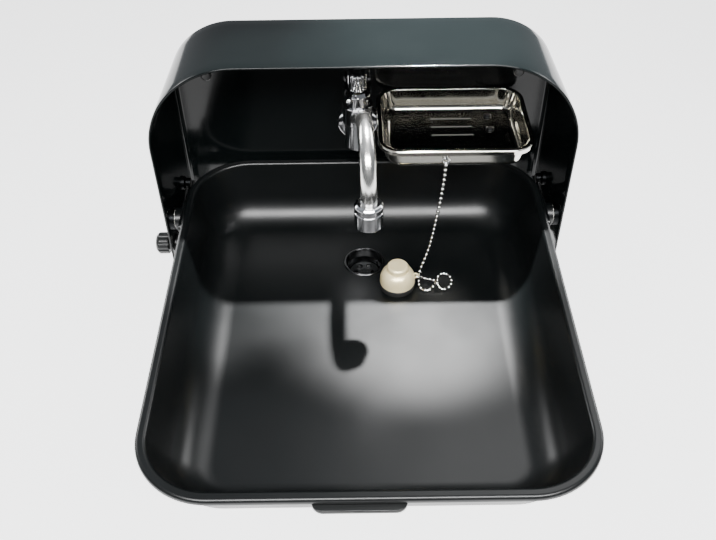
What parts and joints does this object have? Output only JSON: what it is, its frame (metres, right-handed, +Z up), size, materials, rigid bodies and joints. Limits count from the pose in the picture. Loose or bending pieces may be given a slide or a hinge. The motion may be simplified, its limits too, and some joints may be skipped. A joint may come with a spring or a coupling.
{
  "type": "wall-hung wash basin",
  "caption": "Fold-up wash basin for a caravan wall: an arched sheet housing with a drafted tub, swivel swan-neck tap, soap dish, waste outlet and a plug on a ball chain",
  "frame": {"origin": "on the wall plane (the housing's outer back face), midway between the sides, at the height of the top of the tub's rim", "axes": "+Y into the wall, -Y to the front, +X to the right as seen from the front, +Z up"},
  "size_m": [0.4073, 0.445, 0.279],
  "materials": {
    "housing_paint": "satin black enamel",
    "tub_paint": "semi-gloss black enamel",
    "bright_chrome": "polished plating",
    "chain_steel": "polished nickel plating",
    "zinc_steel": "zinc plated",
    "brass": "machined",
    "black_plastic": "fine moulded grain",
    "white_nylon": "smooth moulded",
    "black_rubber": "moulded"
  },
  "bodies": {
    "housing": {"housing_shell": "housing_paint", "soap_dish": "bright_chrome", "dish_bracket": "zinc_steel", "dish_screws": "zinc_steel", "chain_eye": "bright_chrome", "tap_body": "bright_chrome", "tap_bonnet": "bright_chrome", "tap_flange": "bright_chrome", "tap_gasket": "black_rubber", "inlet_washer": "zinc_steel", "inlet_locknut": "brass", "tap_cartridge": "white_nylon", "spout_seals": "black_rubber", "pivot_studs": "zinc_steel", "basin_stops": "zinc_steel", "lock_bush": "black_plastic", "chain_hanging": "chain_steel"},
    "basin": {"basin_tub": "tub_paint", "side_lugs": "tub_paint", "pull_handle": "black_plastic", "handle_screws": "zinc_steel", "pivot_bracket_left": "tub_paint", "pivot_bracket_right": "tub_paint", "pivot_bushes": "white_nylon", "bracket_screws": "zinc_steel", "drain_flange": "bright_chrome", "drain_strainer": "zinc_steel", "drain_gasket": "black_rubber", "waste_nut": "black_plastic", "waste_tail": "black_plastic", "tail_nut": "black_plastic", "plug_body": "black_rubber", "plug_dome": "bright_chrome", "plug_button": "bright_chrome", "chain_ring": "bright_chrome", "chain_loops": "chain_steel"},
    "spout": {"spout_collar": "bright_chrome", "spout_tube": "bright_chrome", "aerator_shell": "bright_chrome", "aerator_insert": "white_nylon", "aerator_washer": "black_rubber"},
    "tap_handle": {"tap_cap": "bright_chrome", "tap_lever": "bright_chrome", "tap_spindle": "brass", "cap_screw": "bright_chrome"},
    "lock_knob": {"lock_knob": "black_plastic", "lock_screw": "zinc_steel", "lock_pad": "white_nylon"}
  },
  "joints": [
    {"name": "basin_fold", "type": "hinge", "parent": "housing", "child": "basin", "pos_m": [0, -0.071, -0.026], "axis": [-1, 0, 0], "range_deg": [0, 45], "deforming": ["chain_hanging"]},
    {"name": "spout_swivel", "type": "hinge", "parent": "housing", "child": "spout", "pos_m": [-0.005, -0.026, 0.0675], "axis": [0, 0, 1], "range_deg": [-75, 6]},
    {"name": "tap_turn", "type": "hinge", "parent": "housing", "child": "tap_handle", "pos_m": [-0.005, -0.026, 0.1], "axis": [0, 0, -1], "range_deg": [0, 90]},
    {"name": "lock_turn", "type": "hinge", "parent": "housing", "child": "lock_knob", "pos_m": [-0.2, -0.071, -0.058], "axis": [-1, 0, 0], "range_deg": [0, 180]}
  ]
}
